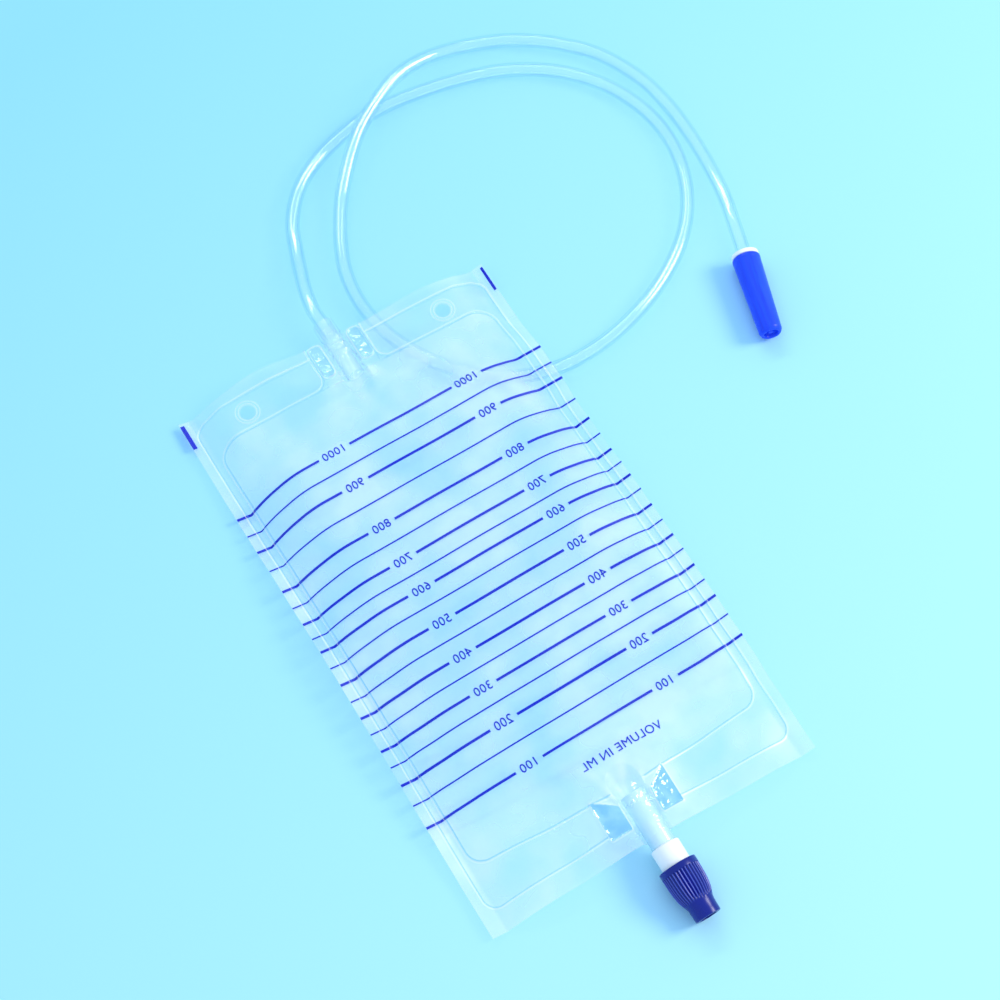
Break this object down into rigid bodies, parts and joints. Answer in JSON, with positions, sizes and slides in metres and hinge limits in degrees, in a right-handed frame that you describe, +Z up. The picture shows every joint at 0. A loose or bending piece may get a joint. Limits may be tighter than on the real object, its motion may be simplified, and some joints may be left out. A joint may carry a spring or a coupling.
{
  "type": "urine drainage bag",
  "caption": "Flat clear film drainage bag with a graduated print, ribbed top port, long inlet tube with capped taper connector, and a screw drain valve.",
  "frame": {"origin": "on the floor, at the middle of the bag's footprint from the port's mouth to the nozzle, without the free tube", "axes": "+Y along the bag from the outlet to the inlet, +X across it, +Z up from the floor; the printed front film lies downwards"},
  "size_m": [0.2966, 0.4452, 0.0208],
  "materials": {
    "clear_film": "glossy clear flexible film",
    "printed_film": "glossy clear flexible film with blue print",
    "clear_moulding": "clear flexible moulding",
    "clear_tubing": "clear extruded tube",
    "outlet_tubing": "clear extruded tube",
    "white_moulding": "satin moulding",
    "white_valve": "satin moulding",
    "blue_cap": "slightly clear glossy moulding",
    "navy_sleeve": "satin moulding",
    "seal_rubber": "matte"
  },
  "bodies": {
    "bag": {"back_film": "clear_film", "front_film": "printed_film", "inlet_port": "clear_moulding", "inlet_tube": "clear_tubing", "tube_connector": "white_moulding", "outlet_tube": "outlet_tubing", "valve_body": "white_valve"},
    "seal": {"valve_seal": "seal_rubber"},
    "sleeve": {"valve_sleeve": "navy_sleeve"},
    "cap": {"connector_cap": "blue_cap"}
  },
  "joints": [
    {"name": "seal_travel", "type": "slide", "parent": "bag", "child": "seal", "axis": [0, -0.9945, -0.1045], "range_m": [0, 0.003]},
    {"name": "sleeve_twist", "type": "hinge", "parent": "seal", "child": "sleeve", "pos_m": [0, -0.14098, 0.0095], "axis": [0, -0.9945, -0.1045], "range_deg": [0, 360]},
    {"name": "cap_pull", "type": "slide", "parent": "bag", "child": "cap", "axis": [-0.2958, -0.9553, 0], "range_m": [0, 0.045]}
  ],
  "couplings": [
    {"joint": "seal_travel", "follows": "sleeve_twist", "m_per_rad": 0.00047746}
  ]
}
